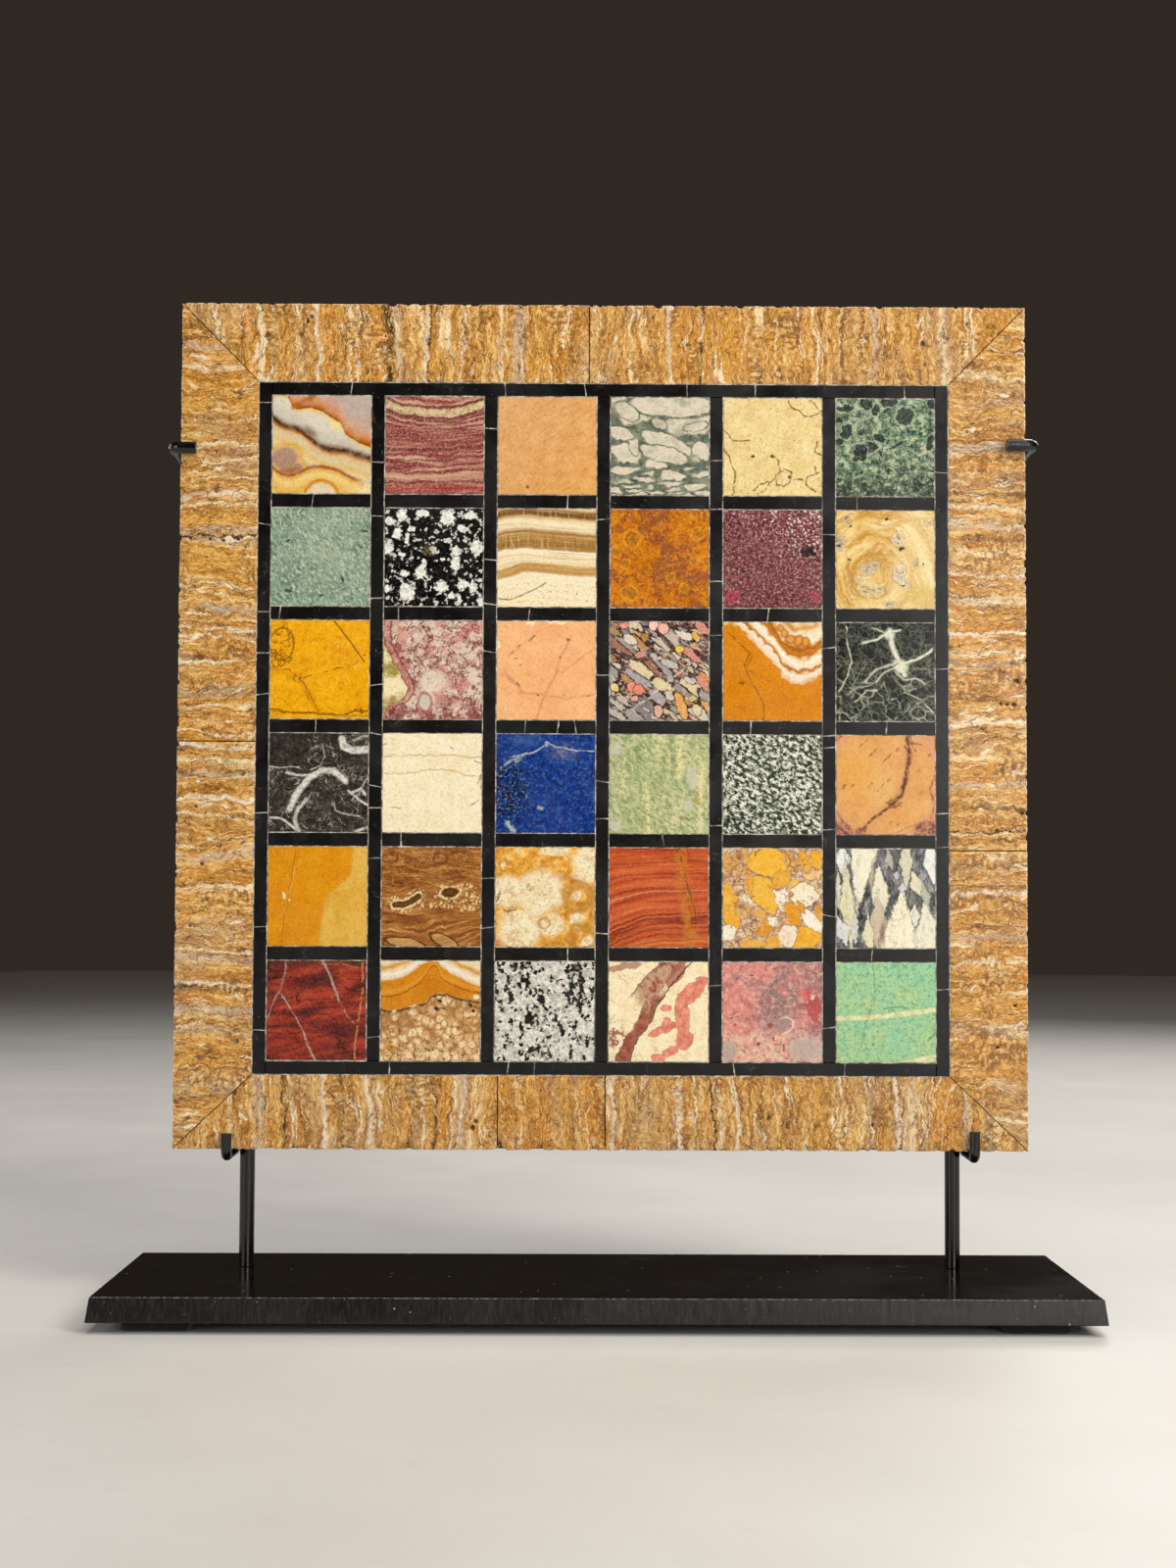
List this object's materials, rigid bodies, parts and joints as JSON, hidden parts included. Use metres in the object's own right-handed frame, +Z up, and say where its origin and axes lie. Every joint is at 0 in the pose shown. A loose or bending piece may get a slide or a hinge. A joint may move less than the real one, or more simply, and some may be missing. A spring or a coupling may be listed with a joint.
{
  "type": "marble specimen tablet on stand",
  "caption": "Square tablet of inlaid specimen marble tiles with black fillets and a mitred banded alabaster border, held upright by a black two-rod stand.",
  "frame": {"origin": "middle of the footprint, on the plane that the foot pads stand on", "axes": "+Z up, the inlaid face looks along -Y, +X to the right as seen from the front"},
  "size_m": [0.4366, 0.1296, 0.4606],
  "materials": {
    "backing_stone": "sawn, unpolished",
    "black_marble": "honed, lightly scratched",
    "border_alabaster": "honed banded stone with chipped outer arris",
    "black_painted_steel": "satin black paint",
    "black_felt": "matt felt",
    "polished_black_stone": "polished top, honed edges",
    "banded_agate": "honed and waxed stone",
    "rose_wood_marble": "honed and waxed stone",
    "apricot_marble": "honed and waxed stone",
    "pebble_breccia": "honed and waxed stone",
    "cream_palombino": "honed and waxed stone",
    "verde_antico": "honed and waxed stone",
    "grey_green_marble": "honed and waxed stone",
    "black_white_granite": "honed and waxed stone",
    "brown_alabaster": "honed and waxed stone",
    "flame_marble": "honed and waxed stone",
    "red_porphyry": "honed and waxed stone",
    "ochre_lumachella": "honed and waxed stone",
    "yellow_siena": "honed and waxed stone",
    "pink_breccia": "honed and waxed stone",
    "salmon_marble": "honed and waxed stone",
    "mixed_breccia": "honed and waxed stone",
    "orange_alabaster": "honed and waxed stone",
    "veined_serpentine": "honed and waxed stone",
    "black_white_marble": "honed and waxed stone",
    "ivory_marble": "honed and waxed stone",
    "lapis_lazuli": "honed and waxed stone",
    "straw_marble": "honed and waxed stone",
    "grey_granite": "honed and waxed stone",
    "apricot_jasper": "honed and waxed stone",
    "golden_marble": "honed and waxed stone",
    "wood_alabaster": "honed and waxed stone",
    "cloud_alabaster": "honed and waxed stone",
    "red_wave_jasper": "honed and waxed stone",
    "yellow_breccia": "honed and waxed stone",
    "white_cipollino": "honed and waxed stone",
    "red_jasper": "honed and waxed stone",
    "tawny_breccia": "honed and waxed stone",
    "white_granite": "honed and waxed stone",
    "ivory_jasper": "honed and waxed stone",
    "peach_grey_marble": "honed and waxed stone",
    "mint_marble": "honed and waxed stone"
  },
  "bodies": {
    "root": {"backing_slab": "backing_stone", "black_fillet_grid": "black_marble", "border_bottom_left": "border_alabaster", "border_bottom_middle": "border_alabaster", "border_bottom_right": "border_alabaster", "border_left_lower": "border_alabaster", "border_left_upper": "border_alabaster", "border_right_lower": "border_alabaster", "border_right_upper": "border_alabaster", "border_top_left": "border_alabaster", "border_top_right": "border_alabaster", "bottom_hook_left": "black_painted_steel", "bottom_hook_right": "black_painted_steel", "foot_pad_back_left": "black_felt", "foot_pad_back_right": "black_felt", "foot_pad_front_left": "black_felt", "foot_pad_front_right": "black_felt", "side_arm_left": "black_painted_steel", "side_arm_right": "black_painted_steel", "stand_base": "polished_black_stone", "tile_r1c1_banded_agate": "banded_agate", "tile_r1c2_rose_wood_marble": "rose_wood_marble", "tile_r1c3_apricot_marble": "apricot_marble", "tile_r1c4_pebble_breccia": "pebble_breccia", "tile_r1c5_cream_palombino": "cream_palombino", "tile_r1c6_verde_antico": "verde_antico", "tile_r2c1_grey_green_marble": "grey_green_marble", "tile_r2c2_black_white_granite": "black_white_granite", "tile_r2c3_brown_alabaster": "brown_alabaster", "tile_r2c4_flame_marble": "flame_marble", "tile_r2c5_red_porphyry": "red_porphyry", "tile_r2c6_ochre_lumachella": "ochre_lumachella", "tile_r3c1_yellow_siena": "yellow_siena", "tile_r3c2_pink_breccia": "pink_breccia", "tile_r3c3_salmon_marble": "salmon_marble", "tile_r3c4_mixed_breccia": "mixed_breccia", "tile_r3c5_orange_alabaster": "orange_alabaster", "tile_r3c6_veined_serpentine": "veined_serpentine", "tile_r4c1_black_white_marble": "black_white_marble", "tile_r4c2_ivory_marble": "ivory_marble", "tile_r4c3_lapis_lazuli": "lapis_lazuli", "tile_r4c4_straw_marble": "straw_marble", "tile_r4c5_grey_granite": "grey_granite", "tile_r4c6_apricot_jasper": "apricot_jasper", "tile_r5c1_golden_marble": "golden_marble", "tile_r5c2_wood_alabaster": "wood_alabaster", "tile_r5c3_cloud_alabaster": "cloud_alabaster", "tile_r5c4_red_wave_jasper": "red_wave_jasper", "tile_r5c5_yellow_breccia": "yellow_breccia", "tile_r5c6_white_cipollino": "white_cipollino", "tile_r6c1_red_jasper": "red_jasper", "tile_r6c2_tawny_breccia": "tawny_breccia", "tile_r6c3_white_granite": "white_granite", "tile_r6c4_ivory_jasper": "ivory_jasper", "tile_r6c5_peach_grey_marble": "peach_grey_marble", "tile_r6c6_mint_marble": "mint_marble", "upright_left": "black_painted_steel", "upright_right": "black_painted_steel"}
  },
  "joints": []
}
